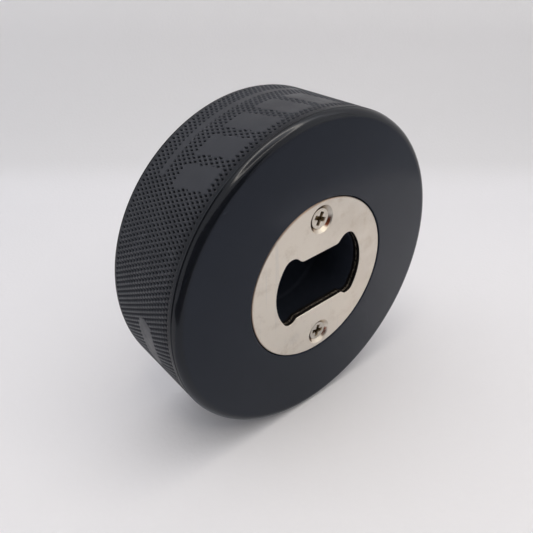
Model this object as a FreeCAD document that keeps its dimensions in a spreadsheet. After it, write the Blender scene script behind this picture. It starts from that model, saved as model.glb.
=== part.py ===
import FreeCAD, Part
import math
import os

import Sketcher

# Hockey puck fitted with a bottle opener insert.
#
# The puck stands on its rim: +Z is up, the puck's axis lies along Y, the opener faces -Y and
# the origin is on the ground, under the middle of the puck. All lengths are in millimetres.
#
# Every body is drawn in the same "face frame": the origin is the centre of the puck's front
# face, X and Y lie in the face and Z points out of it. face_placement() turns that frame to
# where the puck stands, rolled a little as a round thing is.

Vector = FreeCAD.Vector
SHEET = "Dimensions"

# alias, value, meaning (lengths in mm, angles in degrees)
DIMENSIONS = [
    ("puck_diameter", 76.2, "puck, across the rim (3 in)"),
    ("puck_thickness", 25.4, "puck, face to face (1 in)"),
    ("shoulder_radius", 2.0, "rounding between rim and faces"),
    ("rim_groove_inset", 1.5, "middle of the rim groove, from the nearer face"),
    ("rim_groove_width", 0.4, "mould line groove beside each shoulder, width"),
    ("rim_groove_depth", 0.25, "mould line groove, depth"),
    ("foot_flat_depth", 0.015, "flat that the rim's rubber is pressed to where the puck stands"),
    ("foot_hollow_width", 1.2, "lengthwise hollow between the two lands of that flat"),
    ("foot_hollow_depth", 0.05, "the same hollow"),
    ("recess_diameter", 40.0, "seat of the opener plate"),
    ("recess_depth", 2.1, "seat of the opener plate, below the face"),
    ("cavity_diameter", 25.4, "bore behind the plate that takes the cap's edge"),
    ("cavity_depth", 14.0, "bore behind the plate, below the face"),
    ("cavity_rounding", 1.0, "rounding at the bottom of the bore"),
    ("plate_diameter", 39.6, "opener plate"),
    ("plate_thickness", 2.0, "opener plate"),
    ("plate_edge_rounding", 0.3, "rolled outer edge of the plate"),
    ("mouth_edge_rounding", 0.12, "broken edge of the mouth"),
    ("mouth_radius", 13.1, "round ends of the mouth, from the plate's centre"),
    ("tooth_height", 7.2, "tips of both teeth, from the plate's centre"),
    ("upper_tooth_half_width", 5.45, "upper tooth, half its straight tip"),
    ("upper_tooth_slope", 45.0, "flank of the upper tooth"),
    ("upper_tooth_rounding", 1.6, "corner of the upper tooth"),
    ("upper_lobe_rounding", 2.6, "corner of the mouth beside the upper tooth"),
    ("lower_tooth_half_width", 7.35, "lower tooth, half its straight tip"),
    ("lower_tooth_slope", 42.0, "flank of the lower tooth"),
    ("lower_tooth_rounding", 0.5, "corner of the lower tooth"),
    ("lower_lobe_rounding", 2.0, "corner of the mouth beside the lower tooth"),
    ("screw_offset", 15.5, "screw axes, above and below the plate's centre"),
    ("screw_hole_diameter", 3.2, "clearance hole in the plate"),
    ("countersink_diameter", 6.6, "countersink in the plate, at its front"),
    ("countersink_angle", 90.0, "countersink and screw head, whole cone"),
    ("head_diameter", 4.7, "screw head"),
    ("head_rim", 0.38, "straight rim of the screw head"),
    ("head_clearance", 0.02, "gap between the head's cone and the countersink"),
    ("screw_length", 13.0, "screw, from its flat top to its point"),
    ("screw_point_length", 2.2, "screw point"),
    ("thread_diameter", 2.9, "tapping thread, over the crests"),
    ("thread_root_diameter", 2.1, "tapping thread, at the root"),
    ("thread_pitch", 1.06, "tapping thread"),
    ("thread_start", 2.0, "upper end of the thread, below the head's top"),
    ("thread_crest", 0.1, "width of the thread's crest"),
    ("thread_base", 0.6, "width of the thread at its root"),
    ("thread_overlap", 0.1, "how far the thread is sunk into the shank"),
    ("thread_fit", 0.05, "gap between the rubber and the screw"),
    ("cross_span", 3.2, "cross recess, across opposite wings"),
    ("cross_wing", 1.0, "cross recess, width of a wing"),
    ("cross_depth", 1.2, "cross recess"),
    ("cross_taper", 12.0, "cross recess, slope of its walls"),
    ("upper_cross_turn", 63.0, "upper screw, turn of its cross"),
    ("lower_cross_turn", 76.0, "lower screw, turn of its cross"),
    ("puck_roll", 2.5, "how far the standing puck has rolled from having its mouth level"),
]

SCREW_SIDES = {"upper": 1, "lower": -1}


# ---------------------------------------------------------------- document and sheet

def make_sheet(doc):
    sheet = doc.addObject("Spreadsheet::Sheet", SHEET)
    for row, (alias, value, meaning) in enumerate(DIMENSIONS, start=1):
        sheet.set(f"A{row}", meaning)
        sheet.set(f"B{row}", str(value))
        sheet.setAlias(f"B{row}", alias)
    doc.recompute()
    return sheet


def size(doc, alias):
    return float(doc.getObject(SHEET).get(alias))


def cell(alias):
    return f"{SHEET}.{alias}"


def new_body(doc, name):
    body = doc.addObject("PartDesign::Body", name)
    body.Label = name
    return body


def new_sketch(body, name, plane_role):
    plane = next(part for part in body.Origin.OriginFeatures if part.Role == plane_role)
    sketch = body.newObject("Sketcher::SketchObject", name)
    sketch.AttachmentSupport = [(plane, "")]
    sketch.MapMode = "FlatFace"
    return sketch


# ---------------------------------------------------------------- sketching

def bind(sketch, kind, references, expression):
    """Add one dimension to a sketch and tie it to a formula over the sheet."""
    index = sketch.addConstraint(Sketcher.Constraint(kind, *references, 1.0))
    name = f"d{index}"
    sketch.renameConstraint(index, name)
    sketch.setExpression(f"Constraints.{name}", expression)


def draw_circle(sketch, diameter, centre_y=None):
    """A circle on the sketch's vertical axis."""
    start_y = 0.0 if centre_y is None else 10.0
    circle = sketch.addGeometry(Part.Circle(Vector(0, start_y, 0), Vector(0, 0, 1), 1.0), False)
    bind(sketch, "Diameter", (circle,), diameter)
    if centre_y is None:
        sketch.addConstraint(Sketcher.Constraint("Coincident", circle, 3, -1, 1))
        return
    sketch.addConstraint(Sketcher.Constraint("PointOnObject", circle, 3, -2))
    bind(sketch, "DistanceY", (-1, 1, circle, 3), centre_y)


def draw_polygon(sketch, corners):
    """A closed outline. Each corner is a pair of formulas, and "0" keeps it on an axis."""
    count = len(corners)
    start = [Vector(math.cos(2 * math.pi * i / count), math.sin(2 * math.pi * i / count), 0)
             for i in range(count)]
    first = sketch.GeometryCount
    for i in range(count):
        sketch.addGeometry(Part.LineSegment(start[i], start[(i + 1) % count]), False)
    for i, (x, y) in enumerate(corners):
        line = first + i
        previous = first + (i - 1) % count
        sketch.addConstraint(Sketcher.Constraint("Coincident", previous, 2, line, 1))
        if x == "0":
            sketch.addConstraint(Sketcher.Constraint("PointOnObject", line, 1, -2))
        else:
            bind(sketch, "DistanceX", (-1, 1, line, 1), x)
        if y == "0":
            sketch.addConstraint(Sketcher.Constraint("PointOnObject", line, 1, -1))
        else:
            bind(sketch, "DistanceY", (-1, 1, line, 1), y)


def draw_cross(sketch, span, wing):
    """A plus-shaped outline, centred on the origin."""
    far, near = f"{span} / 2", f"{wing} / 2"
    quarter = [(near, near), (near, far), (f"-{near}", far)]
    corners = []
    for _ in range(4):
        corners += quarter
        quarter = [(negated(y), x) for x, y in quarter]
    draw_polygon(sketch, corners)


def negated(formula):
    return formula[1:] if formula.startswith("-") else f"-{formula}"


# ---------------------------------------------------------------- solid features

def pad(body, sketch, name, length, downwards):
    feature = body.newObject("PartDesign::Pad", name)
    feature.Profile = sketch
    feature.setExpression("Length", length)
    feature.Reversed = downwards
    body.Document.recompute()
    return feature


def revolve(body, sketch, name):
    feature = body.newObject("PartDesign::Revolution", name)
    feature.Profile = sketch
    feature.ReferenceAxis = (sketch, ["V_Axis"])
    feature.Angle = 360
    body.Document.recompute()
    return feature


def check_cut(feature):
    """A cut that points away from the solid removes nothing and raises nothing."""
    before = feature.BaseFeature.Shape.Volume
    if feature.Shape.isNull() or feature.Shape.Volume >= before:
        raise RuntimeError(f"{feature.Label} removes nothing")


def pocket(body, sketch, name, length):
    feature = body.newObject("PartDesign::Pocket", name)
    feature.Profile = sketch
    feature.setExpression("Length", length)
    body.Document.recompute()
    check_cut(feature)
    return feature


def groove(body, sketch, name):
    feature = body.newObject("PartDesign::Groove", name)
    feature.Profile = sketch
    feature.ReferenceAxis = (sketch, ["V_Axis"])
    feature.Angle = 360
    body.Document.recompute()
    check_cut(feature)
    return feature


def helix(body, sketch, name, kind):
    """Sweep the thread's section up the sketch's vertical axis."""
    feature = body.newObject(f"PartDesign::{kind}Helix", name)
    feature.Profile = sketch
    feature.ReferenceAxis = (sketch, ["V_Axis"])
    feature.Mode = "pitch-height-angle"
    feature.setExpression("Pitch", cell("thread_pitch"))
    feature.setExpression("Height", THREAD_RISE)
    body.Document.recompute()
    return feature


def fillet(body, base, name, edges, radius):
    if not edges:
        raise RuntimeError(f"{name} has no edges")
    feature = body.newObject("PartDesign::Fillet", name)
    feature.Base = (base, edges)
    feature.setExpression("Radius", radius)
    body.Document.recompute()
    return feature


def edges_where(shape, test):
    return [f"Edge{i}" for i, edge in enumerate(shape.Edges, start=1) if test(edge)]


def is_circle_at(edge, diameter, z):
    return (isinstance(edge.Curve, Part.Circle)
            and math.isclose(edge.Curve.Radius, diameter / 2, abs_tol=1e-4)
            and math.isclose(edge.Curve.Center.z, z, abs_tol=1e-4))


def is_upright_at(edge, spots):
    ends = [vertex.Point for vertex in edge.Vertexes]
    return len(ends) == 2 and any(
        all(math.hypot(end.x - x, end.y - y) < 1e-3 for end in ends) for x, y in spots)


# ---------------------------------------------------------------- places

# Depths below the puck's front face, as formulas over the sheet.
PLATE_SINK = f"({cell('recess_depth')} - {cell('plate_thickness')})"
HEAD_SINK = (f"({PLATE_SINK} + ({cell('countersink_diameter')} - {cell('head_diameter')}) / 2"
             f" / tan({cell('countersink_angle')} / 2)"
             f" - {cell('head_rim')} - {cell('head_clearance')})")
SHANK_LENGTH = f"({cell('screw_length')} - {cell('screw_point_length')})"
THREAD_RISE = f"({SHANK_LENGTH} - {cell('thread_base')} / 2 - {cell('thread_start')})"


def head_sink(doc):
    half_cone = math.radians(size(doc, "countersink_angle") / 2)
    overhang = (size(doc, "countersink_diameter") - size(doc, "head_diameter")) / 2
    return (plate_sink(doc) + overhang / math.tan(half_cone)
            - size(doc, "head_rim") - size(doc, "head_clearance"))


def plate_sink(doc):
    return size(doc, "recess_depth") - size(doc, "plate_thickness")


def face_placement(doc, x=0.0, y=0.0, depth=0.0):
    """A spot in the face frame, as a placement of the standing puck."""
    axis_height = size(doc, "puck_diameter") / 2 - size(doc, "foot_flat_depth")
    stand = FreeCAD.Placement(
        Vector(0, -size(doc, "puck_thickness") / 2, axis_height),
        FreeCAD.Rotation(Vector(1, 0, 0), 90))
    roll = FreeCAD.Placement(Vector(), FreeCAD.Rotation(Vector(0, 0, 1), size(doc, "puck_roll")))
    spot = FreeCAD.Placement(Vector(x, y, -depth), FreeCAD.Rotation())
    return stand.multiply(roll).multiply(spot)


# ---------------------------------------------------------------- screw and its hole

def draw_shank(sketch):
    """Half section of the screw: flat countersunk head, root of the thread, point."""
    head = f"{cell('head_diameter')} / 2"
    root = f"{cell('thread_root_diameter')} / 2"
    cone = f"({head} - {root}) / tan({cell('countersink_angle')} / 2)"
    draw_polygon(sketch, [
        ("0", "0"),
        (head, "0"),
        (head, f"-{cell('head_rim')}"),
        (root, f"-{cell('head_rim')} - {cone}"),
        (root, f"-{SHANK_LENGTH}"),
        ("0", f"-{cell('screw_length')}"),
    ])


def draw_shank_hole(sketch):
    """Half section of the hole for the shank, from above the rubber to below the point."""
    gap = cell("thread_fit")
    root = f"{cell('thread_root_diameter')} / 2 + {gap}"
    draw_polygon(sketch, [
        ("0", "0"),
        (root, "0"),
        (root, f"-{SHANK_LENGTH}"),
        ("0", f"-{cell('screw_length')} - 2 * {gap}"),
    ])


def draw_thread(sketch, gap):
    """Section of the thread where it starts, at the foot of the shank."""
    inner = f"{cell('thread_root_diameter')} / 2 - {cell('thread_overlap')}"
    outer = f"{cell('thread_diameter')} / 2 + {gap}"
    middle = f"-{SHANK_LENGTH} + {cell('thread_base')} / 2"
    half_base = f"({cell('thread_base')} / 2 + {gap})"
    half_crest = f"({cell('thread_crest')} / 2 + {gap})"
    draw_polygon(sketch, [
        (inner, f"{middle} - {half_base}"),
        (outer, f"{middle} - {half_crest}"),
        (outer, f"{middle} + {half_crest}"),
        (inner, f"{middle} + {half_base}"),
    ])


def make_screw(doc, side):
    """A countersunk tapping screw. Its origin is the middle of the head's flat top."""
    body = new_body(doc, f"{side}_screw")
    profile = new_sketch(body, f"{side}_shank_profile", "XZ_Plane")
    draw_shank(profile)
    revolve(body, profile, f"{side}_shank")

    section = new_sketch(body, f"{side}_thread_section", "XZ_Plane")
    draw_thread(section, "0")
    helix(body, section, f"{side}_thread", "Additive")

    cross = new_sketch(body, f"{side}_cross_outline", "XY_Plane")
    turn = size(doc, f"{side}_cross_turn")
    cross.AttachmentOffset = FreeCAD.Placement(Vector(), FreeCAD.Rotation(Vector(0, 0, 1), turn))
    draw_cross(cross, cell("cross_span"), cell("cross_wing"))
    recess = pocket(body, cross, f"{side}_cross_recess", cell("cross_depth"))
    recess.setExpression("TaperAngle", f"-{cell('cross_taper')}")
    doc.recompute()
    check_cut(recess)

    height = SCREW_SIDES[side] * size(doc, "screw_offset")
    body.Placement = face_placement(doc, y=height, depth=head_sink(doc))
    return body


def cut_screw_hole(body, side):
    """The form that the screw presses into the rubber."""
    def hole_sketch(name):
        # the sketch's vertical axis is the screw's axis, and its origin the head's top
        sketch = new_sketch(body, f"{side}_{name}", "XZ_Plane")
        sketch.setExpression("AttachmentOffset.Base.y", f"-{HEAD_SINK}")
        sketch.setExpression("AttachmentOffset.Base.z",
                             f"{-SCREW_SIDES[side]} * {cell('screw_offset')}")
        return sketch

    shank = hole_sketch("hole_profile")
    draw_shank_hole(shank)
    groove(body, shank, f"{side}_hole")
    thread = hole_sketch("hole_thread_section")
    draw_thread(thread, cell("thread_fit"))
    check_cut(helix(body, thread, f"{side}_hole_thread", "Subtractive"))


# ---------------------------------------------------------------- puck

def make_puck(doc):
    """The rubber moulding, turned out for the opener."""
    body = new_body(doc, "puck_body")
    diameter, thickness = size(doc, "puck_diameter"), size(doc, "puck_thickness")
    outline = new_sketch(body, "puck_outline", "XY_Plane")
    draw_circle(outline, cell("puck_diameter"))
    disc = pad(body, outline, "disc", cell("puck_thickness"), downwards=True)
    shoulders = edges_where(disc.Shape, lambda edge: is_circle_at(edge, diameter, 0)
                            or is_circle_at(edge, diameter, -thickness))
    fillet(body, disc, "shoulders", shoulders, cell("shoulder_radius"))

    grooves = new_sketch(body, "rim_groove_section", "XZ_Plane")
    front = f"-{cell('rim_groove_inset')}"
    back = f"-{cell('puck_thickness')} + {cell('rim_groove_inset')}"
    for middle in (front, back):
        draw_rim_groove(grooves, middle)
    groove(body, grooves, "rim_grooves")

    foot = new_sketch(body, "foot_flat_outline", "XY_Plane")
    level = FreeCAD.Rotation(Vector(0, 0, 1), -size(doc, "puck_roll"))
    foot.AttachmentOffset = FreeCAD.Placement(Vector(), level)
    draw_foot(foot)
    pocket(body, foot, "foot_flat", cell("puck_thickness"))

    seat = new_sketch(body, "plate_seat_outline", "XY_Plane")
    draw_circle(seat, cell("recess_diameter"))
    pocket(body, seat, "plate_seat", cell("recess_depth"))
    bore = new_sketch(body, "cavity_outline", "XY_Plane")
    draw_circle(bore, cell("cavity_diameter"))
    cavity = pocket(body, bore, "cavity", cell("cavity_depth"))
    floor_edge = edges_where(cavity.Shape, lambda edge: is_circle_at(
        edge, size(doc, "cavity_diameter"), -size(doc, "cavity_depth")))
    fillet(body, cavity, "cavity_floor_rounding", floor_edge, cell("cavity_rounding"))

    for side in SCREW_SIDES:
        cut_screw_hole(body, side)
    body.Placement = face_placement(doc)
    return body


def draw_rim_groove(sketch, middle):
    """A V whose width, where it meets the rim, is the groove's width."""
    rim = f"{cell('puck_diameter')} / 2"
    depth, width = cell("rim_groove_depth"), cell("rim_groove_width")
    draw_polygon(sketch, [
        (f"{rim} - {depth}", middle),
        (f"{rim} + {depth}", f"{middle} - {width}"),
        (f"{rim} + {depth}", f"{middle} + {width}"),
    ])


def draw_foot(sketch):
    """A block under the level foot of the standing puck, ridged to leave two lands there."""
    flat = f"-({cell('puck_diameter')} / 2 - {cell('foot_flat_depth')})"
    ridge = f"{flat} + {cell('foot_hollow_depth')}"
    ridge_side = f"{cell('foot_hollow_width')} / 2"
    side = f"{cell('puck_diameter')} / 8"
    bottom = f"-{cell('puck_diameter')} * 0.6"
    draw_polygon(sketch, [
        (side, flat),
        (ridge_side, flat),
        (ridge_side, ridge),
        (f"-{ridge_side}", ridge),
        (f"-{ridge_side}", flat),
        (f"-{side}", flat),
        (f"-{side}", bottom),
        (side, bottom),
    ])


# ---------------------------------------------------------------- opener plate

def mouth_corners(doc, level):
    """Sharp corners of the mouth's right half at one tooth: its tip, and the flank's outer end."""
    slope = math.radians(size(doc, f"{level}_tooth_slope"))
    tip = Vector(size(doc, f"{level}_tooth_half_width"), size(doc, "tooth_height"), 0)
    along = Vector(math.cos(slope), math.sin(slope), 0)
    reach = tip.dot(along)
    run = -reach + math.sqrt(reach ** 2 - tip.dot(tip) + size(doc, "mouth_radius") ** 2)
    end = tip + along * run
    return tip, end


def both_sides(point, level):
    y = SCREW_SIDES[level] * point.y
    return [(point.x, y), (-point.x, y)]


def draw_mouth(sketch, doc):
    """Two round ends joined by an upper and a lower tooth, with every corner still sharp."""
    radius = size(doc, "mouth_radius")
    ends = {}
    for level, sign in SCREW_SIDES.items():
        tip, end = mouth_corners(doc, level)
        tips = [Vector(side * tip.x, sign * tip.y, 0) for side in (1, -1)]
        ends[level] = [Vector(side * end.x, sign * end.y, 0) for side in (1, -1)]
        edge = sketch.addGeometry(Part.LineSegment(tips[0], tips[1]), False)
        sketch.addConstraint(Sketcher.Constraint("Horizontal", edge))
        half_width = cell(f"{level}_tooth_half_width")
        bind(sketch, "DistanceY", (-1, 1, edge, 1), f"{sign} * {cell('tooth_height')}")
        bind(sketch, "DistanceX", (-1, 1, edge, 1), half_width)
        bind(sketch, "DistanceX", (-1, 1, edge, 2), f"-{half_width}")
        for i, side in enumerate((1, -1)):
            flank = sketch.addGeometry(Part.LineSegment(tips[i], ends[level][i]), False)
            sketch.addConstraint(Sketcher.Constraint("Coincident", edge, i + 1, flank, 1))
            slope = cell(f"{level}_tooth_slope")
            turn = slope if side > 0 else f"180 - {slope}"
            bind(sketch, "Angle", (flank,), turn if sign > 0 else negated(f"({turn})"))
    axis = Vector(0, 0, 1)
    for i, (start, finish) in enumerate((("lower", "upper"), ("upper", "lower"))):
        first, last = ends[start][i], ends[finish][i]
        sweep = (math.atan2(first.y, first.x), math.atan2(last.y, last.x))
        arc = Part.ArcOfCircle(Part.Circle(Vector(), axis, radius), *sweep)
        index = sketch.addGeometry(arc, False)
        sketch.addConstraint(Sketcher.Constraint("Coincident", index, 3, -1, 1))
        bind(sketch, "Radius", (index,), cell("mouth_radius"))
        flank_of = {"upper": 1 + i, "lower": 4 + i}
        sketch.addConstraint(Sketcher.Constraint("Coincident", index, 1, flank_of[start], 2))
        sketch.addConstraint(Sketcher.Constraint("Coincident", index, 2, flank_of[finish], 2))


def make_plate(doc):
    """The opener insert. Its origin is the middle of its front face."""
    body = new_body(doc, "opener_plate")
    outline = new_sketch(body, "plate_outline", "XY_Plane")
    draw_circle(outline, cell("plate_diameter"))
    blank = pad(body, outline, "blank", cell("plate_thickness"), downwards=True)
    rim = edges_where(blank.Shape, lambda edge: is_circle_at(edge, size(doc, "plate_diameter"), 0))
    fillet(body, blank, "plate_edge", rim, cell("plate_edge_rounding"))

    mouth = new_sketch(body, "mouth_outline", "XY_Plane")
    draw_mouth(mouth, doc)
    feature = pocket(body, mouth, "mouth", cell("plate_thickness"))
    for level in SCREW_SIDES:
        tip, end = mouth_corners(doc, level)
        for what, corner in (("lobe", end), ("tooth", tip)):
            spots = both_sides(corner, level)
            uprights = edges_where(feature.Shape, lambda edge: is_upright_at(edge, spots))
            feature = fillet(body, feature, f"{level}_{what}_corners", uprights,
                             cell(f"{level}_{what}_rounding"))
    mouth_edges = edges_where(feature.Shape, lambda edge: is_front_mouth_edge(
        edge, size(doc, "mouth_radius")))
    fillet(body, feature, "mouth_edge", mouth_edges, cell("mouth_edge_rounding"))
    drill_plate(body)
    body.Placement = face_placement(doc, depth=plate_sink(doc))
    return body


def is_front_mouth_edge(edge, mouth_radius):
    box = edge.BoundBox
    reach = max(abs(box.XMin), abs(box.XMax), abs(box.YMin), abs(box.YMax))
    return math.isclose(box.ZMin, 0, abs_tol=1e-5) and box.ZLength < 1e-5 and reach < mouth_radius + 0.1


def drill_plate(body):
    """Two countersunk clearance holes, one above and one below the mouth."""
    centres = new_sketch(body, "screw_centres", "XY_Plane")
    for sign in SCREW_SIDES.values():
        draw_circle(centres, cell("screw_hole_diameter"), f"{sign} * {cell('screw_offset')}")
    body.Document.recompute()
    hole = body.newObject("PartDesign::Hole", "screw_holes")
    hole.Profile = centres
    body.Document.recompute()
    hole.DepthType = "ThroughAll"
    hole.setExpression("Diameter", cell("screw_hole_diameter"))
    hole.HoleCutType = "Countersink"
    hole.HoleCutCustomValues = True
    hole.setExpression("HoleCutDiameter", cell("countersink_diameter"))
    hole.setExpression("HoleCutCountersinkAngle", cell("countersink_angle"))
    body.Document.recompute()
    check_cut(hole)


# ---------------------------------------------------------------- check and write

def check_document(doc, bodies):
    for item in doc.Objects:
        if {"Invalid", "Error"} & set(item.State):
            raise RuntimeError(f"{item.Label} failed: {item.State}")
    for body in bodies:
        if body.Shape.isNull() or not body.Shape.isValid() or len(body.Shape.Solids) != 1:
            raise RuntimeError(f"{body.Label} is not one valid solid")


def main():
    doc = FreeCAD.newDocument("PuckOpener")
    make_sheet(doc)
    bodies = [make_puck(doc), make_plate(doc)]
    bodies += [make_screw(doc, side) for side in SCREW_SIDES]
    doc.recompute()
    check_document(doc, bodies)
    os.makedirs("parts", exist_ok=True)
    for body in bodies:
        body.Shape.exportStep(f"parts/{body.Label}.step")
        print(body.Label, round(body.Shape.Volume, 1), "mm3", body.Shape.BoundBox)


main()
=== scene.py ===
import math

import bpy
import numpy as np
from mathutils import Matrix, Vector
from mathutils.geometry import delaunay_2d_cdt


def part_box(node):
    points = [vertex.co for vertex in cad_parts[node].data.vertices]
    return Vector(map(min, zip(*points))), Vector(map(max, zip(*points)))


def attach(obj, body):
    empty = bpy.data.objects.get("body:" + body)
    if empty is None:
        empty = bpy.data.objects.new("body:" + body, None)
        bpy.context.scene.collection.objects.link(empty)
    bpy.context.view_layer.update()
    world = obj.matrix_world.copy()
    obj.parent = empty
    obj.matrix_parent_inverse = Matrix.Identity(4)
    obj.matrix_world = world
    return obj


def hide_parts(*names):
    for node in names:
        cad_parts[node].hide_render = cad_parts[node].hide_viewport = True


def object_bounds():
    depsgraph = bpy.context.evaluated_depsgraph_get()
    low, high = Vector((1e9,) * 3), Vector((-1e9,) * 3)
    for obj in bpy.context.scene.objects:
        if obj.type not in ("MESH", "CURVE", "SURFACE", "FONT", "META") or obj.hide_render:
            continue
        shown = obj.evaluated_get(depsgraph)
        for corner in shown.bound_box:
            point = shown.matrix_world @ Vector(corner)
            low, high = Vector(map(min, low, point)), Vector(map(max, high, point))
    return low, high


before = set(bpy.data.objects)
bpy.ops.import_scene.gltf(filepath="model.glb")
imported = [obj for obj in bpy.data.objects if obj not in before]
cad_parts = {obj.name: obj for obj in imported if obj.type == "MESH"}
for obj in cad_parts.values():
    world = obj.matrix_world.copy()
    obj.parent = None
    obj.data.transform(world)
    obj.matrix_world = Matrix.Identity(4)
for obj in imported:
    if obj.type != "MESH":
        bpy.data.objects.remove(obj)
cad_low, cad_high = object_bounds()

MM = 0.001
centre = (cad_low + cad_high) / 2
body_low, body_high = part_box("puck_body")
plate_low, plate_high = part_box("opener_plate")
front_y, back_y = body_low.y, body_high.y
thickness = back_y - front_y
radius = body_high.x
axis_z = body_high.z - radius
screws = {}
for side in ("upper", "lower"):
    low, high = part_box(f"{side}_screw")
    screws[side] = Vector(((low.x + high.x) / 2, low.y, (low.z + high.z) / 2))
plate_radius = (plate_high.x - plate_low.x) / 2
plate_sink = plate_low.y - front_y
head_sink = screws["upper"].y - front_y

# ---------------------------------------------------------------- sizes

SHOULDER = 2.0 * MM
SHOULDER_DEGREES = (0, 8, 17, 26, 35, 44, 53, 61)      # mesh rings, up to the groove
GROOVE_INSET, GROOVE_HALF, GROOVE_DEPTH = 1.5 * MM, 0.2 * MM, 0.25 * MM
GROOVE_FLOOR = 0.04 * MM        # half the width of the groove's floor
GROOVE_LIPS = 0.08 * MM, 0.1 * MM       # extra rings before and after the groove
SEAT_RADIUS, SEAT_DEPTH = 20.0 * MM, 2.1 * MM
CAVITY_RADIUS, CAVITY_DEPTH, CAVITY_ROUNDING = 12.7 * MM, 14.0 * MM, 1.0 * MM
HOLE_RADIUS, HOLE_DEPTH, HOLE_SIDES = 1.52 * MM, 11.7 * MM, 32
BEND_DEGREES = (0, 30, 60, 90)  # mesh rings of the cavity's rounded floor edge
EDGE_BREAK, EDGE_MIDDLE = 0.12 * MM, 0.3        # the seat's edge, and its middle ring
FLAT_MARGIN = 0.15 * MM         # a narrow band that keeps the shading of the flats flat
SHARP_DEGREES = 38              # edges that bend more are shaded sharp
MOUTH_REACH = 13.3 * MM         # from the plate's middle to just past its mouth
COUNTERSINK_RADIUS = 3.3 * MM

DIAMONDS = 208                  # round the rim
STEPS = 6                       # mesh columns and rows in one diamond
DIAMOND_LENGTH = 2.06 * MM      # along the puck's axis
PIT_DEPTH = 0.3 * MM
BAND_ROWS = 62                  # mesh rows between the two shoulders
ROW_STEP = DIAMOND_LENGTH / STEPS
FINE = DIAMONDS * STEPS         # points in a ring of the knurl
COARSE = FINE // 3              # points in any other ring
RIB_SIDE = 0.8                  # height a sixth of the pitch away from a rib's crest
FADE_FRONT, FADE_BACK = 1.3 * MM, 0.4 * MM      # where the pits die out
TINY = 1e-9
SMOOTH, KNURLED, TURNED = range(3)      # the puck's material slots


def new_object(name, data):
    thing = bpy.data.objects.new(name, data)
    bpy.context.collection.objects.link(thing)
    return thing


class Mesh:
    """Rings of points round the puck's axis, joined into one closed skin."""

    def __init__(self):
        self.points, self.count, self.faces, self.slots = [], 0, [], []
        self.slot = SMOOTH

    def add(self, points):
        """Numbers of the new points."""
        start = self.count
        self.points.append(np.asarray(points, float))
        self.count += len(points)
        return start + np.arange(len(points))

    def ring(self, count, ring_radius, depth):
        """Points at a depth behind the front face, from the top round through -X."""
        turn = 2 * math.pi * np.arange(count) / count
        r = np.broadcast_to(ring_radius, (count,))
        return self.add(np.stack([-r * np.sin(turn), np.full(count, front_y + depth),
                                  axis_z + r * np.cos(turn)], 1))

    def triangles(self, rows):
        """Faces in the current material slot, three point numbers each."""
        self.faces.append(np.asarray(rows, int).reshape(-1, 3))
        self.slots.append(np.full(len(self.faces[-1]), self.slot))

    def bridge(self, a, b, flip=None):
        """Triangles between two rings of one size. Flip picks a quad's other diagonal."""
        a2, b2 = np.roll(a, -1), np.roll(b, -1)
        if flip is None:
            flip = np.zeros(len(a), bool)
        first = np.where(flip[:, None], np.stack([a, b, a2], 1), np.stack([a, b2, a2], 1))
        second = np.where(flip[:, None], np.stack([a2, b, b2], 1), np.stack([a, b, b2], 1))
        self.triangles(np.concatenate([first, second]))

    def widen(self, few, many):
        """Triangles from a ring to one with more points, in either order round the profile."""
        inward = len(few) > len(many)
        small, large = (many, few) if inward else (few, many)
        ratio = len(large) // len(small)
        rows = []
        for i, point in enumerate(small):
            following = small[(i + 1) % len(small)]
            for k in range(ratio):
                here, there = large[i * ratio + k], large[(i * ratio + k + 1) % len(large)]
                rows.append((point if k <= ratio // 2 else following, there, here))
                if k == ratio // 2:
                    rows.append((point, following, there))
        rows = np.array(rows)
        self.triangles(rows if inward else rows[:, ::-1])

    def cap(self, ring, depth, facing_front):
        """A flat disc that closes a ring, seen from the front or from the back."""
        middle = self.add([(0.0, front_y + depth, axis_z)])[0]
        after = np.roll(ring, -1)
        order = (ring, after) if facing_front else (after, ring)
        self.triangles(np.stack([np.full(len(ring), middle), *order], 1))

    def build(self, name):
        mesh = bpy.data.meshes.new(name)
        points, faces = np.concatenate(self.points), np.concatenate(self.faces)
        mesh.from_pydata(points.tolist(), [], faces.tolist())
        mesh.polygons.foreach_set("material_index", np.concatenate(self.slots))
        mesh.polygons.foreach_set("use_smooth", np.ones(len(faces), bool))
        mesh.update()
        mesh.set_sharp_from_angle(angle=math.radians(SHARP_DEGREES))
        return new_object(name, mesh)


# ---------------------------------------------------------------- knurled rim

def smoothstep(low, high, x):
    t = np.clip((x - low) / (high - low), 0, 1)
    return t * t * (3 - 2 * t)


def rib_height(phase):
    """One family of ribs: rounded crests, with flat floors a third of the pitch wide."""
    off = np.abs(phase - np.round(phase))
    return np.interp(off, (0, 1 / 6, 1 / 3, 1 / 2), (1, RIB_SIDE, 0, 0))


# smooth areas: turns in degrees from the top towards -X, depths behind the front face
PAD_STARTS = (-11.5, 0.2, 11.9, 23.6, 35.3)
PAD_WIDTH, PAD_SLANT = 8.2, 3.4
PAD_NEAR, PAD_FAR = 4.8 * MM, 13.8 * MM
STRIPE_NEAR, STRIPE_FAR = 17.8 * MM, 19.5 * MM
STRIPE_START, STRIPE_END = -13.0, 45.6
PILL_MIDDLE, PILL_HALF_TURN = 98.5, 9.5
PILL_NEAR, PILL_FAR = 9.6 * MM, 14.6 * MM
COPY_TURN, COPY_START = 180, -60        # the set is repeated every half turn, from here


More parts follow.
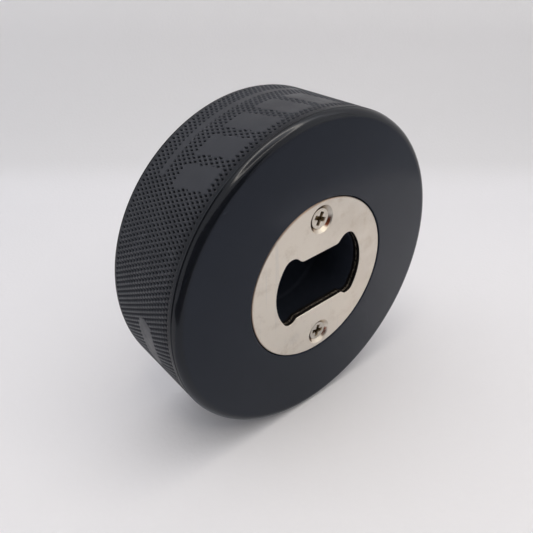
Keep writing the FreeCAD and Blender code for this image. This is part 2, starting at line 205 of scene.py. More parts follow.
def smooth_areas(turn, depth):
    """1 where the rim is left smooth: slanted pads, a stripe and a pill, twice round."""
    turn = (turn - COPY_START) % COPY_TURN + COPY_START
    inside = np.zeros_like(turn, bool)
    along = (depth - PAD_NEAR) / (PAD_FAR - PAD_NEAR)
    for start in PAD_STARTS:
        left = start + PAD_SLANT * along
        inside |= (along >= 0) & (along <= 1) & (turn >= left) & (turn <= left + PAD_WIDTH)
    inside |= ((depth >= STRIPE_NEAR) & (depth <= STRIPE_FAR)
               & (turn >= STRIPE_START) & (turn <= STRIPE_END))
    arc = radius * np.radians(turn - PILL_MIDDLE)
    end = (PILL_FAR - PILL_NEAR) / 2
    straight = radius * math.radians(PILL_HALF_TURN) - end
    across = depth - (PILL_NEAR + PILL_FAR) / 2
    inside |= np.hypot(np.maximum(np.abs(arc) - straight, 0), across) <= end
    return inside.astype(float)


def knurl_band(skin):
    """The rim between the two shoulders. Returns its front ring and its back ring."""
    first = (thickness - BAND_ROWS * ROW_STEP) / 2
    i = np.arange(FINE)
    turn = 360 * i / FINE
    rings, heights = [], []
    for j in range(BAND_ROWS + 1):
        depth = first + j * ROW_STEP
        ribs = np.maximum(rib_height((i + j) / STEPS), rib_height((i - j) / STEPS))
        fade = (smoothstep(0, FADE_FRONT, depth - first)
                * smoothstep(0, FADE_BACK, thickness - depth - first))
        pit = PIT_DEPTH * (1 - ribs) * fade * (1 - smooth_areas(turn, depth))
        heights.append(-pit)
        rings.append(skin.ring(FINE, radius - pit, depth))
    for j in range(BAND_ROWS):
        near, far = heights[j], heights[j + 1]
        near2, far2 = np.roll(near, -1), np.roll(far, -1)
        # each quad is split along the rib that crosses it
        rise_a, rise_b = np.abs(near - far2), np.abs(near2 - far)
        flip = (rise_b < rise_a - TINY) | ((np.abs(rise_a - rise_b) <= TINY)
                                           & (near2 + far > near + far2 + TINY))
        skin.bridge(rings[j], rings[j + 1], flip)
    return rings[0], rings[-1]


# ---------------------------------------------------------------- smooth profile

def shoulder_profile():
    """Radius and depth of the front shoulder, from the flat face out to the knurl."""
    def surface(depth):
        reach = math.sqrt(max(SHOULDER ** 2 - (SHOULDER - depth) ** 2, 0))
        return radius - SHOULDER + reach, depth

    rows = []
    for degrees in SHOULDER_DEGREES:
        angle = math.radians(degrees)
        rows.append((radius - SHOULDER + SHOULDER * math.sin(angle),
                     SHOULDER - SHOULDER * math.cos(angle)))
    start, end = GROOVE_INSET - GROOVE_HALF, GROOVE_INSET + GROOVE_HALF
    before, after = GROOVE_LIPS
    return rows + [surface(start - before), surface(start),
                   (radius - GROOVE_DEPTH, GROOVE_INSET - GROOVE_FLOOR),
                   (radius - GROOVE_DEPTH, GROOVE_INSET + GROOVE_FLOOR),
                   surface(end), surface(end + after)]


def bridge_all(skin, rings):
    for a, b in zip(rings, rings[1:]):
        skin.bridge(a, b)


def make_puck():
    """The puck's one closed skin, from the cavity's floor out and round to the back."""
    skin = Mesh()
    bend = [math.radians(degrees) for degrees in BEND_DEGREES]

    # cavity behind the plate, floor first
    skin.slot = TURNED
    inner = CAVITY_RADIUS - CAVITY_ROUNDING
    cavity = [skin.ring(COARSE, inner / 2, CAVITY_DEPTH)]
    cavity += [skin.ring(COARSE, inner + CAVITY_ROUNDING * math.sin(a),
                         CAVITY_DEPTH - CAVITY_ROUNDING * (1 - math.cos(a))) for a in bend]
    cavity.append(skin.ring(COARSE, CAVITY_RADIUS, CAVITY_DEPTH / 2))
    mouth = skin.ring(COARSE, CAVITY_RADIUS, SEAT_DEPTH)
    skin.cap(cavity[0], CAVITY_DEPTH, True)
    bridge_all(skin, cavity + [mouth])

    # seat of the plate, with the two screw holes
    seat_edge = skin.ring(COARSE, SEAT_RADIUS, SEAT_DEPTH)
    holes = []
    turn = 2 * math.pi * np.arange(HOLE_SIDES) / HOLE_SIDES
    for spot in screws.values():
        holes.append([skin.add(np.stack([
            spot.x - HOLE_RADIUS * np.sin(turn), np.full(HOLE_SIDES, front_y + depth),
            spot.z + HOLE_RADIUS * np.cos(turn)], 1)) for depth in (SEAT_DEPTH, HOLE_DEPTH)])
    points = np.concatenate(skin.points)
    loops = [mouth, seat_edge] + [hole[0] for hole in holes]
    known = np.concatenate(loops)
    at = {int(v): k for k, v in enumerate(known)}
    edges = [(at[int(a)], at[int(b)]) for loop in loops for a, b in zip(loop, np.roll(loop, -1))]
    flat = [Vector((points[v][0], points[v][2])) for v in known]
    _, _, faces, sources, _, _ = delaunay_2d_cdt(flat, edges, [], 0, TINY)
    rows = []
    for face in faces:
        origin = [known[sources[v][0]] for v in face]
        x, _, z = points[origin].mean(0)
        clear = all(math.hypot(x - s.x, z - s.z) > HOLE_RADIUS for s in screws.values())
        if CAVITY_RADIUS < math.hypot(x, z - axis_z) < SEAT_RADIUS and clear:
            a, b, c = points[origin]
            outward = np.cross(b - a, c - a)[1] < 0
            rows.append(origin if outward else origin[::-1])
    skin.triangles(rows)
    for (top, bottom), spot in zip(holes, screws.values()):
        skin.bridge(bottom, top)
        tip = skin.add([(spot.x, front_y + HOLE_DEPTH + HOLE_RADIUS, spot.z)])[0]
        skin.triangles(np.stack([np.full(HOLE_SIDES, tip), bottom, np.roll(bottom, -1)], 1))

    # wall of the seat, front face, shoulder
    wall = [seat_edge, skin.ring(COARSE, SEAT_RADIUS, EDGE_BREAK),
            skin.ring(COARSE, SEAT_RADIUS + EDGE_BREAK * EDGE_MIDDLE, EDGE_BREAK * EDGE_MIDDLE),
            skin.ring(COARSE, SEAT_RADIUS + EDGE_BREAK, 0)]
    bridge_all(skin, wall)
    skin.slot = SMOOTH
    flat_edge = radius - SHOULDER - FLAT_MARGIN
    face = [wall[-1]] + [skin.ring(COARSE, r, 0) for r in (
        SEAT_RADIUS + EDGE_BREAK + FLAT_MARGIN, (SEAT_RADIUS + radius) / 2, flat_edge)]
    profile = shoulder_profile()
    face += [skin.ring(COARSE, r, depth) for r, depth in profile]
    bridge_all(skin, face)

    # knurled rim
    skin.slot = KNURLED
    front_ring, back_ring = knurl_band(skin)
    skin.widen(face[-1], front_ring)

    # back shoulder and back face
    skin.slot = SMOOTH
    back = [skin.ring(COARSE, r, thickness - depth) for r, depth in reversed(profile)]
    skin.slot = KNURLED
    skin.widen(back_ring, back[0])
    skin.slot = SMOOTH
    back += [skin.ring(COARSE, r, thickness) for r in (flat_edge, radius / 2)]
    bridge_all(skin, back)
    skin.cap(back[-1], thickness, False)
    return skin.build("puck_rubber_body")


puck = make_puck()
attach(puck, "root")
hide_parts("puck_body")

# ---------------------------------------------------------------- materials

def start_material(name):
    """A new material, its node tree and its shader."""
    made = bpy.data.materials.new(name)
    made.use_nodes = True
    tree = made.node_tree
    return made, tree, tree.nodes["Principled BSDF"]


def put(tree, kind, inputs=None, **settings):
    """A node. Each input is a number, a colour or another node's output."""
    made = tree.nodes.new(kind)
    for key, value in settings.items():
        setattr(made, key, value)
    for key, value in (inputs or {}).items():
        if isinstance(value, bpy.types.NodeSocket):
            tree.links.new(value, made.inputs[key])
        else:
            made.inputs[key].default_value = value
    return made


def maths(tree, operation, *values):
    return put(tree, "ShaderNodeMath", dict(enumerate(values)), operation=operation).outputs[0]


def noise(tree, where, scale, detail=2.0, roughness=0.5):
    return put(tree, "ShaderNodeTexNoise", {"Vector": where, "Scale": scale, "Detail": detail,
                                            "Roughness": roughness}).outputs["Fac"]


def remap(tree, value, low, high, to_low, to_high):
    """The value taken smoothly from one range to another, and held at both ends."""
    return put(tree, "ShaderNodeMapRange", {0: value, 1: low, 2: high, 3: to_low, 4: to_high},
               interpolation_type="SMOOTHSTEP").outputs[0]


def patches(tree, where, scale, detail, roughness, low, high, least=0.0, most=1.0):
    """From least to most, where the noise rises from low to high."""
    return remap(tree, noise(tree, where, scale, detail, roughness), low, high, least, most)


def blend_colour(tree, factor, a, b):
    """From a, where the factor is 0, to b. Both are colours or other nodes' outputs."""
    made = put(tree, "ShaderNodeMix", {"Factor": factor}, data_type="RGBA")
    for socket, value in ((made.inputs[6], a), (made.inputs[7], b)):
        if isinstance(value, bpy.types.NodeSocket):
            tree.links.new(value, socket)
        else:
            socket.default_value = (*value, 1.0)
    return made.outputs[2]


def bump(tree, height, distance, strength=1.0, under=None):
    inputs = {"Height": height, "Distance": distance, "Strength": strength}
    if under is not None:
        inputs["Normal"] = under
    return put(tree, "ShaderNodeBump", inputs).outputs[0]


def object_place(tree):
    return put(tree, "ShaderNodeTexCoord").outputs["Object"]


def specks(tree, where, scale, share, inner, outer):
    """1 on small round spots in a share of the cells, 0 elsewhere."""
    cells = put(tree, "ShaderNodeTexVoronoi", {"Vector": where, "Scale": scale})
    chosen = maths(tree, "GREATER_THAN", cells.outputs["Color"], 1.0 - share)
    spot = remap(tree, cells.outputs["Distance"], inner, outer, 1.0, 0.0)
    return maths(tree, "MULTIPLY", chosen, spot)


def scratches(tree, where, turn, stretch, scale, low, high):
    """Sparse thin streaks: noise stretched along one direction. 1 on a streak, 0 elsewhere."""
    drawn = put(tree, "ShaderNodeMapping", {"Vector": where, "Rotation": (0.0, turn, 0.0),
                                            "Scale": (1.0, 1.0, stretch)}).outputs[0]
    return remap(tree, noise(tree, drawn, scale), low, high, 0.0, 1.0)


def depth_below_face(tree, where):
    """How far behind the puck's front face."""
    along = put(tree, "ShaderNodeSeparateXYZ", {0: where}).outputs["Y"]
    return maths(tree, "SUBTRACT", along, front_y)


def from_axis(tree, where, spot):
    """Distance from a line through the spot, square to the face, and the direction from it."""
    level = put(tree, "ShaderNodeVectorMath", {0: where, 1: (1.0, 0.0, 1.0)},
                operation="MULTIPLY").outputs[0]
    away = put(tree, "ShaderNodeVectorMath", {0: level, 1: (spot.x, 0.0, spot.z)},
               operation="SUBTRACT").outputs[0]
    distance = put(tree, "ShaderNodeVectorMath", {0: away}, operation="LENGTH").outputs["Value"]
    direction = put(tree, "ShaderNodeVectorMath", {0: away}, operation="NORMALIZE").outputs[0]
    return distance, direction


def facing(tree, direction, way):
    """1 where a direction points the given way, down to -1 where it points against it."""
    return put(tree, "ShaderNodeVectorMath", {0: direction, 1: Vector(way).normalized()},
               operation="DOT_PRODUCT").outputs["Value"]


# linear colours, and directions across the face
PUCK_AXIS = Vector((centre.x, 0.0, axis_z))
RUBBER_DARK, RUBBER_PALE = Vector((0.0022, 0.0027, 0.0042)), Vector((0.0034, 0.0041, 0.0062))
BLOOM, DUST, RUBBED = (0.0075, 0.0082, 0.0095), (0.19, 0.195, 0.2), (0.02, 0.021, 0.023)
FACE_TINT, SHOULDER_TINT, KNURL_TINT = (0.74, 0.82, 1.0), (0.9, 0.93, 1.0), (0.83, 0.87, 1.0)
RUBBER_IOR = 1.47
LOW_SIDE, TOP_SIDE = (0.85, 0.0, -0.5), (0.0, 0.0, 1.0)


def rubber(name, roughness, grain, gloss, tint=FACE_TINT, shade=1.0, extra=None):
    """Black vulcanised rubber: cloudy colour, pale bloom, dust and fine grain.

    The extra function changes how the rubber looks from place to place.
    """
    made, tree, shader = start_material(name)
    where = object_place(tree)
    cloud = patches(tree, where, 90.0, 4.0, 0.6, 0.3, 0.7)
    colour = blend_colour(tree, cloud, RUBBER_DARK * shade, RUBBER_PALE * shade)
    bloom = patches(tree, where, 38.0, 6.0, 0.7, 0.52, 0.78, most=0.35)
    colour = blend_colour(tree, bloom, colour, BLOOM)
    dust = specks(tree, where, scale=380.0, share=0.06, inner=0.05, outer=0.11)
    colour = blend_colour(tree, maths(tree, "MULTIPLY", dust, 0.6), colour, DUST)
    roughness = patches(tree, where, 210.0, 5.0, 0.65, 0.3, 0.7, *roughness)
    shader.inputs["IOR"].default_value = RUBBER_IOR
    shader.inputs["Specular IOR Level"].default_value = gloss
    shader.inputs["Specular Tint"].default_value = (*tint, 1.0)
    if extra:
        colour, roughness = extra(tree, shader, where, gloss, tint, colour, roughness)
    tree.links.new(colour, shader.inputs["Base Color"])
    tree.links.new(roughness, shader.inputs["Roughness"])
    normal = bump(tree, noise(tree, where, 2600.0, 3.0, 0.6), grain)
    normal = bump(tree, noise(tree, where, 160.0), 0.02 * MM, 0.6, normal)
    tree.links.new(normal, shader.inputs["Normal"])
    return made


def rubbed_and_shaded_shoulder(tree, shader, where, gloss, tint, colour, roughness):
    """Short rubbed marks all over. The shoulder is duller low down, and at the back, as painted
    shade.
    """
    rubbed = scratches(tree, where, turn=0.35, stretch=14.0, scale=260.0, low=0.72, high=0.8)
    colour = blend_colour(tree, maths(tree, "MULTIPLY", rubbed, 0.5), colour, RUBBED)
    roughness = maths(tree, "MULTIPLY_ADD", rubbed, 0.2, roughness)
    out, way = from_axis(tree, where, PUCK_AXIS)
    edge = remap(tree, out, radius - SHOULDER, radius - 0.75 * SHOULDER, 0.0, 1.0)
    low_side = remap(tree, facing(tree, way, LOW_SIDE), 0.0, 0.6, 0.0, 0.55)
    hind = remap(tree, depth_below_face(tree, where), thickness - 2.6 * MM,
                 thickness - 1.6 * MM, 0.0, 0.7)
    # painted shade: the shoulder's reflection is turned down on its low side and at the back
    dull = maths(tree, "MULTIPLY", edge, maths(tree, "MAXIMUM", low_side, hind))
    tree.links.new(maths(tree, "MULTIPLY", maths(tree, "SUBTRACT", 1.0, dull), gloss),
                   shader.inputs["Specular IOR Level"])
    tree.links.new(blend_colour(tree, edge, tint, SHOULDER_TINT), shader.inputs["Specular Tint"])
    return colour, roughness


def pitted_rim(tree, shader, where, gloss, tint, colour, roughness):
    """Dull floors in the pits, rougher and with painted shade, dull rows beside both shoulders,
    and a painted sheen on top.
    """
    out, way = from_axis(tree, where, PUCK_AXIS)
    deep = remap(tree, out, radius - PIT_DEPTH, radius - 0.25 * PIT_DEPTH, 1.0, 0.0)
    depth = depth_below_face(tree, where)
    shine = maths(tree, "MULTIPLY", remap(tree, depth, 1.6 * MM, 5.4 * MM, 0.36, 1.0),
                  remap(tree, depth, 22.4 * MM, 23.4 * MM, 1.0, 0.65))
    # pit floors: rougher, and their reflection turned down as painted shade
    shine = maths(tree, "MULTIPLY", shine, maths(tree, "MULTIPLY_ADD", deep, -0.78, 1.0))
    # painted sheen: the rim reflects more where it faces up
    painted_top_sheen = remap(tree, facing(tree, way, TOP_SIDE), 0.5, 0.97, 0.95, 1.35)
    shine = maths(tree, "MULTIPLY", shine, painted_top_sheen)
    tree.links.new(maths(tree, "MULTIPLY", shine, gloss), shader.inputs["Specular IOR Level"])
    return colour, maths(tree, "MULTIPLY_ADD", deep, 0.2, roughness)


PLATE_TONES = (0.7, 0.625, 0.53), (0.775, 0.705, 0.61)
SCREW_TONES = (0.68, 0.61, 0.51), (0.77, 0.7, 0.6)
LIT_NICKEL, SCRATCHED_NICKEL = (0.96, 0.86, 0.725), (0.8, 0.76, 0.7)
STAIN, SMUDGE = (0.56, 0.45, 0.33), (0.52, 0.48, 0.44)
TARNISH, CORRODED = (0.36, 0.2, 0.12), (0.2, 0.16, 0.12)
RUST, COUNTERSINK_SHADOW = (0.27, 0.075, 0.035), (0.07, 0.03, 0.015)
SHEARED_IN_SHADE, TORN = (0.045, 0.04, 0.038), (0.62, 0.53, 0.43)
SUNK_DARK, SUNK_PALE, SCREW_STAIN = (0.1, 0.06, 0.03), (0.42, 0.32, 0.18), (0.45, 0.34, 0.22)
LOW_LEFT, UP_LEFT = (-0.8, 0.0, -0.6), (-0.8, 0.0, 0.6)
RUST_WAY, SHADOW_WAY = (0.87, 0.0, -0.5), (-0.85, 0.0, 0.5)
TEAR_START, TEAR_END = (1.1 * MM, 1.2 * MM), (1.5 * MM, 1.65 * MM)      # down the mouth's wall


def nickel(name, tones, roughness):
    """Warm satin nickel over steel. The caller adds stains and links colour and roughness."""
    made, tree, shader = start_material(name)
    where = object_place(tree)
    colour = blend_colour(tree, patches(tree, where, 120.0, 4.0, 0.6, 0.3, 0.7), *tones)
    roughness = patches(tree, where, 400.0, 5.0, 0.65, 0.3, 0.7, *roughness)
    shader.inputs["Metallic"].default_value = 1.0
    return made, tree, shader, where, colour, roughness


def make_plate_metal():
    """Stained satin nickel, with sheared walls in the mouth and rust in the countersinks."""
    made, tree, shader, where, colour, roughness = nickel(
        "nickel_plated_steel", PLATE_TONES, (0.3, 0.42))
    depth = depth_below_face(tree, where)

    # painted light: the metal is brighter towards the lower left; stains, tarnish towards the
    # rim, pits
    from_middle, outwards = from_axis(tree, where, PUCK_AXIS)
    low_left = maths(tree, "MULTIPLY", from_middle, facing(tree, outwards, LOW_LEFT))
    painted_light = remap(tree, low_left, -15.0 * MM, 5.0 * MM, 0.0, 0.92)
    colour = blend_colour(tree, painted_light, colour, LIT_NICKEL)
    stain = patches(tree, where, 170.0, 6.0, 0.72, 0.5, 0.74, most=0.36)
    colour = blend_colour(tree, stain, colour, STAIN)
    smudge = patches(tree, where, 75.0, 5.0, 0.7, 0.56, 0.72, most=0.2)
    colour = blend_colour(tree, smudge, colour, SMUDGE)
    at_rim = remap(tree, from_middle, plate_radius - 0.45 * MM, plate_radius - 0.05 * MM,
                   0.0, 1.0)
    upper_left = remap(tree, facing(tree, outwards, UP_LEFT), -0.1, 0.6, 0.0, 1.0)
    tarnish = maths(tree, "MULTIPLY", at_rim, upper_left)
    colour = blend_colour(tree, maths(tree, "MULTIPLY", tarnish, 0.75), colour, TARNISH)
    pit = specks(tree, where, scale=900.0, share=0.07, inner=0.1, outer=0.22)
    colour = blend_colour(tree, maths(tree, "MULTIPLY", pit, 0.7), colour, CORRODED)

    # fine scratches, two ways
    lines = maths(
        tree, "MAXIMUM",
        scratches(tree, where, turn=0.6, stretch=0.04, scale=900.0, low=0.66, high=0.74),
        scratches(tree, where, turn=-0.5, stretch=0.03, scale=700.0, low=0.68, high=0.76))
    colour = blend_colour(tree, maths(tree, "MULTIPLY", lines, 0.3), colour, SCRATCHED_NICKEL)
    roughness = maths(tree, "MULTIPLY_ADD", lines, 0.12, roughness)
    roughness = maths(tree, "MULTIPLY_ADD", stain, 0.3, roughness)

    # rust on the low side of each countersink, and a dark brown painted shadow on the high side
    for spot in screws.values():
        away, direction = from_axis(tree, where, spot)
        cone = remap(tree, away, COUNTERSINK_RADIUS - 0.3 * MM, COUNTERSINK_RADIUS - 0.1 * MM,
                     1.0, 0.0)
        side = remap(tree, facing(tree, direction, RUST_WAY), 0.86, 0.98, 0.0, 1.0)
        patch = maths(tree, "MULTIPLY", cone, side)
        patchy = patches(tree, where, 1500.0, 3.0, 0.5, 0.3, 0.55, least=0.55)
        colour = blend_colour(tree, maths(tree, "MULTIPLY", patch, patchy), colour, RUST)
        # painted shadow on the upper-left wall of the countersink
        shaded = remap(tree, facing(tree, direction, SHADOW_WAY), 0.05, 0.3, 0.0, 1.0)
        painted_shadow = maths(tree, "MULTIPLY", shaded, cone)
        colour = blend_colour(tree, maths(tree, "MULTIPLY", painted_shadow, 0.92), colour, COUNTERSINK_SHADOW)

    # walls of the mouth: sheared metal painted nearly black, partly as shade for the dark pocket
    # it mirrors, with a speckled torn line in it
    normal_y = put(tree, "ShaderNodeSeparateXYZ",
                   {0: put(tree, "ShaderNodeNewGeometry").outputs["True Normal"]}).outputs["Y"]
    upright = remap(tree, maths(tree, "ABSOLUTE", normal_y), 0.2, 0.5, 1.0, 0.0)
    inside = remap(tree, from_middle, MOUTH_REACH, MOUTH_REACH + 0.1 * MM, 1.0, 0.0)
    wall = maths(tree, "MULTIPLY", upright, inside)
    ragged = maths(tree, "MULTIPLY_ADD", noise(tree, where, 900.0, 4.0, 0.7), 0.5 * MM, depth)
    torn = maths(tree, "MULTIPLY",
                 remap(tree, ragged, *(plate_sink + down for down in TEAR_START), 0.0, 1.0),
                 remap(tree, ragged, *(plate_sink + down for down in TEAR_END), 1.0, 0.0))
    speckle = patches(tree, where, 2200.0, 3.0, 0.7, 0.38, 0.62)
    wall_colour = blend_colour(tree, maths(tree, "MULTIPLY", torn, speckle), SHEARED_IN_SHADE, TORN)
    colour = blend_colour(tree, wall, colour, wall_colour)
    roughness = maths(tree, "MULTIPLY_ADD", wall, 0.12, roughness)

    tree.links.new(colour, shader.inputs["Base Color"])
    tree.links.new(roughness, shader.inputs["Roughness"])
    rough_height = maths(tree, "MULTIPLY_ADD", pit, -1.5, noise(tree, where, 3000.0, 3.0))
    normal = bump(tree, rough_height, 0.004 * MM)
    wall_height = maths(tree, "MULTIPLY", wall, noise(tree, where, 1800.0, 3.0))
    tree.links.new(bump(tree, wall_height, 0.08 * MM, 1.0, normal), shader.inputs["Normal"])
    return made


def make_screw_metal():
    """Plated steel, dark brown deeper than the head's face: in the cross recess, and round the
    head, where it is painted shadow.
    """
    made, tree, shader, where, colour, roughness = nickel(
        "nickel_plated_screw", SCREW_TONES, (0.26, 0.38))
    depth = depth_below_face(tree, where)
    # dark brown deeper than the head's face: the cross recess, and round the head a painted
    # shadow
    sunk = remap(tree, depth, head_sink + 0.1 * MM, head_sink + 0.5 * MM, 0.0, 1.0)
    mottle = patches(tree, where, 1400.0, 4.0, 0.7, 0.4, 0.62)
    colour = blend_colour(tree, sunk, colour, blend_colour(tree, mottle, SUNK_DARK, SUNK_PALE))
    stain = patches(tree, where, 420.0, 5.0, 0.7, 0.54, 0.74, most=0.4)
    colour = blend_colour(tree, stain, colour, SCREW_STAIN)
    tree.links.new(colour, shader.inputs["Base Color"])
    tree.links.new(maths(tree, "MULTIPLY_ADD", sunk, 0.2, roughness), shader.inputs["Roughness"])
    normal = bump(tree, noise(tree, where, 2400.0, 3.0), 0.006 * MM)
    tree.links.new(normal, shader.inputs["Normal"])
    return made


def dress(thing, *materials):
    thing.data.materials.clear()
    for made in materials:
        thing.data.materials.append(made)


smooth_rubber = rubber("rubber_moulded_smooth", roughness=(0.12, 0.18), grain=0.002 * MM,
                       gloss=0.5, extra=rubbed_and_shaded_shoulder)
knurled_rubber = rubber("rubber_knurled", roughness=(0.34, 0.48), grain=0.012 * MM,
                        gloss=0.6, tint=KNURL_TINT, extra=pitted_rim)
# the cut rubber is 5.5 times paler: partly its greyer cut face, partly painted light in the
# shaded cavity behind the plate
turned_rubber = rubber("rubber_turned", roughness=(0.6, 0.75), grain=0.03 * MM,
                       gloss=0.36, shade=5.5)
slots = np.zeros(len(puck.data.polygons), int)
puck.data.polygons.foreach_get("material_index", slots)
dress(puck, smooth_rubber, knurled_rubber, turned_rubber)
puck.data.polygons.foreach_set("material_index", slots)

dress(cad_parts["opener_plate"], make_plate_metal())
screw_metal = make_screw_metal()
for side in screws:
    dress(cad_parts[f"{side}_screw"], screw_metal)

# ---------------------------------------------------------------- studio

VIEW_AZIMUTH, VIEW_ELEVATION = -40.0, 32.8
VIEW_DISTANCE = 0.1204
AIM_OFFSET = Vector((-8.3, -3.6, 2.5)) * MM     # from the puck's middle
LIT_HEIGHT = 0.03               # the soft panels face this spot above the puck's foot
SURROUND = (0.645, 0.645, 0.65)
LENS_MM, SENSOR_MM = 36.0, 36.0
NEAREST, FURTHEST = 0.005, 20.0
UP = Vector((0.0, 0.0, 1.0))
view_turn, view_rise = math.radians(VIEW_AZIMUTH), math.radians(VIEW_ELEVATION)
ahead = Vector((-math.sin(view_turn), math.cos(view_turn), 0.0))    # level, from the camera
aside = Vector((math.cos(view_turn), math.sin(view_turn), 0.0))     # level, to its right


def studio_spot(side, forward, height):
    """A place in the studio, measured from the foot of the puck."""
    puck_foot = Vector((centre.x, centre.y, cad_low.z))
    return puck_foot + aside * side + ahead * forward + UP * height


def make_camera():
    lens = bpy.data.cameras.new("camera")
    lens.lens, lens.sensor_width = LENS_MM, SENSOR_MM
    lens.clip_start, lens.clip_end = NEAREST, FURTHEST
    camera = new_object("camera", lens)
    back = -ahead * math.cos(view_rise) + UP * math.sin(view_rise)
    camera.location = centre + AIM_OFFSET + back * VIEW_DISTANCE
    camera.rotation_mode = "QUATERNION"
    camera.rotation_quaternion = (-back).to_track_quat("-Z", "Y")
    bpy.context.scene.camera = camera


def new_sheet(name, points, faces):
    mesh = bpy.data.meshes.new(name)
    mesh.from_pydata(points, [], faces)
    return new_object(name, mesh)


FLOOR_ROWS, FLOOR_COLUMNS = (-6.0, -1.2, -0.4, 0.0), (-6.0, -1.0, 0.0, 1.0, 6.0)
SWEEP_START, SWEEP_RADIUS, SWEEP_STEPS, WALL_HEIGHT = 0.108, 0.06, 24, 1.2
PAPER_TONES = (0.785, 0.78, 0.81), (0.805, 0.8, 0.83)
BEND_SHADE, WALL_LIGHT = (0.71, 0.705, 0.725), (0.86, 0.855, 0.87)
BEND_SHADE_HEIGHTS, WALL_LIGHT_HEIGHTS = (0.0, 0.009), (0.015, 0.08)


def make_backdrop():
    """A floor that sweeps up into a wall, with painted shade at the bend and painted light above
    it.
    """
    profile = [(forward, 0.0) for forward in FLOOR_ROWS]
    for k in range(SWEEP_STEPS + 1):
        angle = math.radians(90 * k / SWEEP_STEPS)
        profile.append((SWEEP_START + SWEEP_RADIUS * math.sin(angle),
                        SWEEP_RADIUS * (1 - math.cos(angle))))
    profile.append((SWEEP_START + SWEEP_RADIUS, WALL_HEIGHT))
    points = [studio_spot(side, forward, height)
              for forward, height in profile for side in FLOOR_COLUMNS]
    width = len(FLOOR_COLUMNS)
    faces = [(r * width + c, r * width + c + 1, (r + 1) * width + c + 1, (r + 1) * width + c)
             for r in range(len(profile) - 1) for c in range(width - 1)]
    backdrop = new_sheet("backdrop", points, faces)
    backdrop.data.polygons.foreach_set("use_smooth", [True] * len(faces))
    made, tree, shader = start_material("backdrop_paper")
    where = object_place(tree)
    height = put(tree, "ShaderNodeSeparateXYZ", {0: where}).outputs["Z"]
    colour = blend_colour(tree, noise(tree, where, 14.0, 3.0), *PAPER_TONES)
    # painted shade at the bend, then painted light higher up the wall
    for heights, tone in ((BEND_SHADE_HEIGHTS, BEND_SHADE), (WALL_LIGHT_HEIGHTS, WALL_LIGHT)):
        colour = blend_colour(tree, remap(tree, height, *heights, 0.0, 1.0), colour, tone)
    tree.links.new(colour, shader.inputs["Base Color"])
    tree.links.new(bump(tree, noise(tree, where, 900.0), 0.05 * MM), shader.inputs["Normal"])
    shader.inputs["Roughness"].default_value = 0.6
    dress(backdrop, made)


def soft_light(name, place, width, height, power):
    """A glowing panel that faces the puck, with its width level."""
    lamp = bpy.data.lights.new(name, "AREA")
    lamp.shape, lamp.size, lamp.size_y, lamp.energy = "RECTANGLE", width, height, power
    light = new_object(name, lamp)
    light.location = studio_spot(*place)
    aim = (studio_spot(0, 0, LIT_HEIGHT) - light.location).normalized()
    turn = Matrix.Identity(3)
    turn.col[2] = -aim
    turn.col[0] = (aside - aim * aside.dot(aim)).normalized()
    turn.col[1] = turn.col[2].cross(turn.col[0])
    light.rotation_mode = "QUATERNION"
    light.rotation_quaternion = turn.to_quaternion()


RING_PLACE, RING_RADIUS, RING_HALF_WIDTH, RING_SIDES = (0.065, -0.088, 0.25), 0.09, 0.009, 96
RING_COLOUR, RING_STRENGTH = (1.0, 0.92, 0.8), 7.5


def make_ring_lamp():
    """A flat, level, glowing ring. The shoulder mirrors it as a bright line."""
    middle = studio_spot(*RING_PLACE)
    points, faces = [], []
    for k in range(RING_SIDES):
        turn = 2 * math.pi * k / RING_SIDES
        out = aside * math.cos(turn) + ahead * math.sin(turn)
        points += [middle + out * (RING_RADIUS - RING_HALF_WIDTH),
                   middle + out * (RING_RADIUS + RING_HALF_WIDTH)]
        here, there = 2 * k, 2 * ((k + 1) % RING_SIDES)
        faces.append((here, there, there + 1, here + 1))
    lamp = new_sheet("ring_lamp", points, faces)
    made = bpy.data.materials.new("ring_glow")
    made.use_nodes = True
    tree = made.node_tree
    tree.nodes.clear()
    glow = put(tree, "ShaderNodeEmission", {"Color": (*RING_COLOUR, 1.0),
                                            "Strength": RING_STRENGTH})
    end = put(tree, "ShaderNodeOutputMaterial")
    tree.links.new(glow.outputs[0], end.inputs["Surface"])
    dress(lamp, made)


CARD_SHADE_TINT = Vector((0.94, 0.97, 1.06))
CARD_HEIGHT = 0.001             # of the cards that lie on the table


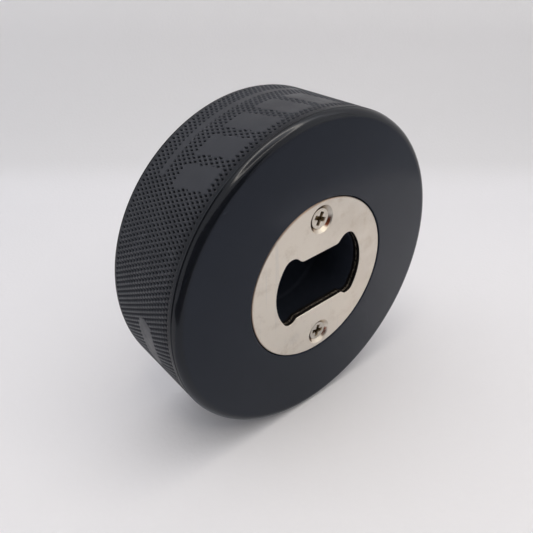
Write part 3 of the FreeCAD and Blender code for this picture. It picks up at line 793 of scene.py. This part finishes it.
def flag(name, corners, tone, only_mirrored, soft_edge=None):
    """A grey card that the camera doesn't see: it darkens what the puck mirrors.

    The soft edge is a line through two spots, and the width over which the card thins out there.
    """
    card = new_sheet(name, [studio_spot(*corner) for corner in corners],
                     [tuple(range(len(corners)))])
    made, tree, shader = start_material(name + "_shade_card")
    where = object_place(tree)
    # the card's grey is painted shade: what the puck mirrors of it stands in for darkness
    card_shade = CARD_SHADE_TINT * tone
    colour = blend_colour(tree, noise(tree, where, 60.0), card_shade * 0.9, card_shade)
    tree.links.new(colour, shader.inputs["Base Color"])
    shader.inputs["Roughness"].default_value = 0.9
    shader.inputs["Specular IOR Level"].default_value = 0.0
    if soft_edge:
        start, end, width = soft_edge
        start, end = studio_spot(*start), studio_spot(*end)
        inwards = (end - start).cross(UP).normalized()
        away = put(tree, "ShaderNodeVectorMath", {0: where, 1: inwards}, operation="DOT_PRODUCT")
        reach = start.dot(inwards)
        cover = remap(tree, away.outputs["Value"], reach, reach + width, 0.0, 1.0)
        tree.links.new(cover, shader.inputs["Alpha"])
    dress(card, made)
    card.visible_camera = False
    if only_mirrored:
        card.visible_shadow = card.visible_diffuse = False


def lying(*corners):
    return [(side, forward, CARD_HEIGHT) for side, forward in corners]


def make_flags():
    """Painted shade as camera-hidden cards: the dark opening that the camera looks in through,
    and the shaded table in front of it.
    """
    low, far, rise = CARD_HEIGHT, -0.36, 0.23
    flag("flag_opening", [(-0.16, far, low), (0.42, far + 0.1, low), (0.42, far + 0.1, rise),
                          (-0.16, far, rise)], tone=0.16, only_mirrored=False)
    flag("flag_table", lying((-0.15, far), (0.45, far), (0.45, -0.13), (-0.02, -0.11),
                             (-0.15, -0.15)), tone=0.16, only_mirrored=True)
    # painted shade: paler cards dim the mirrored floor beside and in front of the puck's foot
    flag("flag_table_side", lying((0.1, -0.13), (0.5, -0.13), (0.5, 0.06), (0.167, 0.05),
                                  (0.162, 0.01), (0.136, -0.02), (0.1, -0.04)),
         tone=0.6, only_mirrored=True)
    flag("flag_table_front", lying((-0.05, -0.12), (0.1, -0.13), (0.1, -0.04), (0.09, 0.008),
                                   (0.06, 0.018), (0.035, 0.012), (-0.03, -0.024),
                                   (-0.05, -0.055)),
         tone=0.63, only_mirrored=True, soft_edge=(*lying((-0.02, 0.035), (0.1, 0.005)), 0.035))


make_camera()
make_backdrop()
make_ring_lamp()
make_flags()
soft_light("top_panel", (0.0, 0.15, 0.7), width=1.2, height=0.8, power=2.95)
soft_light("left_card", (-0.6, 0.05, 0.3), width=0.6, height=0.5, power=0.45)
soft_light("right_card", (0.6, 0.05, 0.3), width=0.6, height=0.5, power=0.15)
soft_light("right_high_card", (0.5, 0.25, 0.5), width=0.4, height=0.4, power=0.25)

world = bpy.data.worlds.new("studio_air")
bpy.context.scene.world = world
world.use_nodes = True
world.node_tree.nodes["Background"].inputs["Color"].default_value = (*SURROUND, 1.0)
bpy.context.scene.view_settings.view_transform = "Standard"
